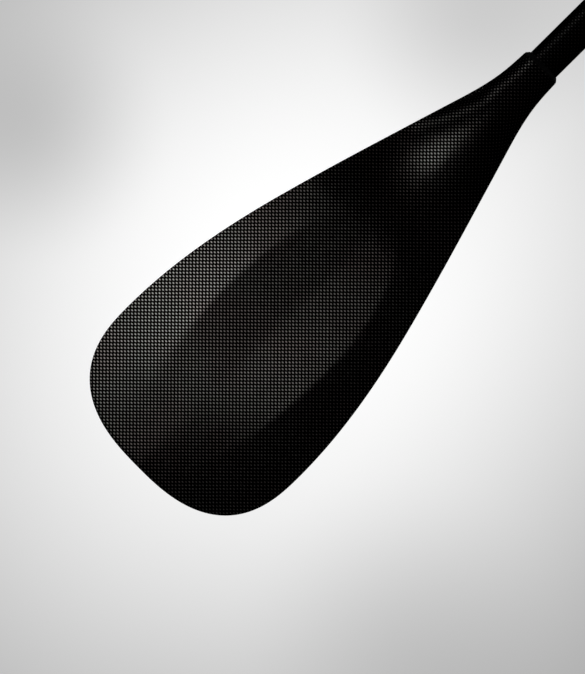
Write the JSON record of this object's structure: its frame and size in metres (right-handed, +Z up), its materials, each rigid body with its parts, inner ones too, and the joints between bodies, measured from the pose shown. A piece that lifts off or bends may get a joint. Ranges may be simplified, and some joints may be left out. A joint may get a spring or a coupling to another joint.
{
  "type": "kayak paddle",
  "caption": "Double-bladed carbon kayak paddle: spooned blades with moulded backs, round shaft, lever-clamped adjustable ferrule.",
  "frame": {"origin": "on the floor below the middle of the paddle's length, with the paddle lying backs up at the middle of its length setting and no feather", "axes": "+X along the shaft towards the right blade, +Y across the blades on the side of the clamp's lever, +Z up out of the blades' backs"},
  "size_m": [2.1502, 0.2032, 0.0517],
  "materials": {
    "carbon_weave": "plain-weave carbon fibre under a satin clear resin, 2 mm tows at 0 and 90 degrees to the blade",
    "carbon_weave_power": "the same carbon laminate on the power face",
    "carbon_shaft": "plain-weave carbon tube, satin resin",
    "carbon_sleeve": "moulded carbon socket sleeve, sanded nose",
    "edge_band": "black laid-in edge band, satin",
    "core_foam": "cream structural foam",
    "plug_foam": "grey closed-cell foam plug",
    "black_rubber": "soft black moulded rubber",
    "ferrule_carbon": "ground and polished carbon tube with a printed length and angle scale",
    "natural_nylon": "natural nylon, machined",
    "black_trim": "black moulded trim ring",
    "clamp_nylon": "glass-filled nylon, fine moulded texture",
    "lever_aluminium": "black anodised aluminium, satin",
    "stainless": "brushed stainless steel",
    "brass": "turned brass",
    "nut_aluminium": "black anodised aluminium, fluted grip"
  },
  "bodies": {
    "left_half": {"left_back_skin": "carbon_weave", "left_power_skin": "carbon_weave_power", "left_foam_core": "core_foam", "left_rim": "edge_band", "left_neck_sleeve": "carbon_sleeve", "left_shaft": "carbon_shaft", "left_end_plug": "plug_foam", "left_bulkhead": "plug_foam", "clamp_collar": "clamp_nylon", "seal_ring": "black_rubber", "draw_bolt": "stainless", "lever_barrel": "stainless", "cam_washer": "brass"},
    "glide": {"glide_bush": "natural_nylon"},
    "right_half": {"right_back_skin": "carbon_weave", "right_power_skin": "carbon_weave_power", "right_foam_core": "core_foam", "right_rim": "edge_band", "right_neck_sleeve": "carbon_sleeve", "right_shaft": "carbon_shaft", "right_end_plug": "plug_foam", "ferrule_tube": "ferrule_carbon", "end_ring": "black_trim"},
    "lever": {"clamp_lever": "lever_aluminium"},
    "nut": {"thumb_nut": "nut_aluminium"},
    "left_drip": {"left_drip_ring": "black_rubber"},
    "right_drip": {"right_drip_ring": "black_rubber"}
  },
  "joints": [
    {"name": "ferrule_slide", "type": "slide", "parent": "left_half", "child": "glide", "axis": [1, 0, 0], "range_m": [-0.05, 0.16]},
    {"name": "feather_turn", "type": "hinge", "parent": "glide", "child": "right_half", "pos_m": [0, 0, 0.02587], "axis": [1, 0, 0], "range_deg": [-60, 60]},
    {"name": "clamp_lever_turn", "type": "hinge", "parent": "left_half", "child": "lever", "pos_m": [-0.0425, 0.024, 0.04088], "axis": [-1, 0, 0], "range_deg": [0, 150]},
    {"name": "thumb_nut_turn", "type": "hinge", "parent": "left_half", "child": "nut", "pos_m": [-0.0425, 0.024, 0.01438], "axis": [0, 0, 1], "continuous": true},
    {"name": "left_drip_ring_slide", "type": "slide", "parent": "left_half", "child": "left_drip", "axis": [-1, 0, 0], "range_m": [-0.15, 0.09]},
    {"name": "right_drip_ring_slide", "type": "slide", "parent": "right_half", "child": "right_drip", "axis": [1, 0, 0], "range_m": [-0.15, 0.09]}
  ]
}
